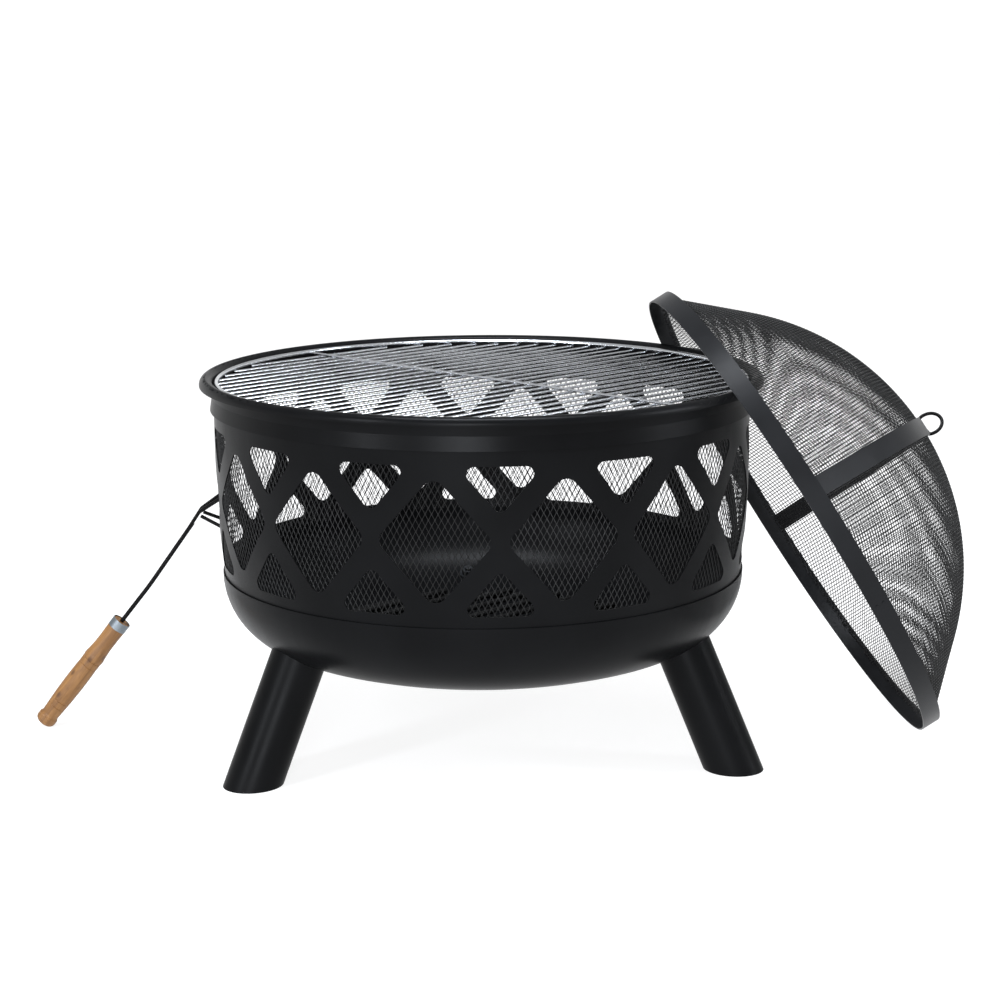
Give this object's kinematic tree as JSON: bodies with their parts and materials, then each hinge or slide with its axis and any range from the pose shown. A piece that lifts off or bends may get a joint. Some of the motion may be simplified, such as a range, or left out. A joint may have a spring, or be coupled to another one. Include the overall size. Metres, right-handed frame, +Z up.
{
  "type": "fire pit with grate",
  "caption": "Round steel fire pit on splayed tube legs, with a diamond lattice wall, a chromed cooking grate, a leaning domed spark screen and a wooden-handled poker.",
  "frame": {"origin": "on the ground, on the axis of the round pit", "axes": "+X to the side where the spark screen leans, -Y to the front, +Z up"},
  "size_m": [1.2985, 0.7861, 0.6127],
  "materials": {
    "black_coat": "satin black heat-resistant coating on steel",
    "liner_mesh": "black coated expanded metal",
    "screen_mesh": "black coated woven wire",
    "chrome_wire": "chrome plated wire, slightly satin",
    "zinc_hardware": "zinc plated steel",
    "zinc_ferrule": "dull zinc plated sheet steel",
    "handle_wood": "turned, lightly lacquered light wood"
  },
  "bodies": {
    "fire_pit": {"rim_ring": "black_coat", "lattice_band": "black_coat", "mesh_liner": "liner_mesh", "tub": "black_coat", "leg_right": "black_coat", "leg_rear": "black_coat", "leg_left": "black_coat", "leg_plate_right": "black_coat", "leg_plate_rear": "black_coat", "leg_plate_left": "black_coat", "leg_bolt_right": "zinc_hardware", "leg_bolt_rear": "zinc_hardware", "leg_bolt_left": "zinc_hardware", "leg_washer_right": "zinc_hardware", "leg_washer_rear": "zinc_hardware", "leg_washer_left": "zinc_hardware", "leg_nut_right": "zinc_hardware", "leg_nut_rear": "zinc_hardware", "leg_nut_left": "zinc_hardware", "grate_tab_1": "black_coat", "grate_tab_2": "black_coat", "grate_tab_3": "black_coat", "grate_tab_4": "black_coat"},
    "cooking_grate": {"grate_ring": "chrome_wire", "grate_bars": "chrome_wire", "grate_cross_wire": "chrome_wire"},
    "log_grate": {"log_grate_ring": "black_coat", "log_grate_bars": "black_coat", "log_grate_cross_bar": "black_coat"},
    "spark_screen": {"screen_hoop": "black_coat", "hoop_rivets": "black_coat", "screen_mesh": "screen_mesh", "strap_lower": "black_coat", "strap_upper": "black_coat", "eye_bolt": "black_coat", "eye_washer": "zinc_hardware", "eye_nut": "zinc_hardware"},
    "poker": {"wood_handle": "handle_wood", "ferrule": "zinc_ferrule", "poker_rod": "black_coat", "fork_prongs": "black_coat", "fork_hooks": "black_coat"}
  },
  "joints": [
    {"name": "spark_screen_lift", "type": "slide", "parent": "fire_pit", "child": "spark_screen", "axis": [0, 0, 1], "range_m": [0, 0.4]},
    {"name": "cooking_grate_lift", "type": "slide", "parent": "fire_pit", "child": "cooking_grate", "axis": [0, 0, 1], "range_m": [0, 0.25]},
    {"name": "log_grate_lift", "type": "slide", "parent": "fire_pit", "child": "log_grate", "axis": [0, 0, 1], "range_m": [0, 0.3]},
    {"name": "poker_lift", "type": "slide", "parent": "fire_pit", "child": "poker", "axis": [-0.8, 0, 0.6], "range_m": [0, 0.25]}
  ],
  "couplings": [
    {"joint": "cooking_grate_lift", "follows": "spark_screen_lift", "ratio": 0.6}
  ]
}
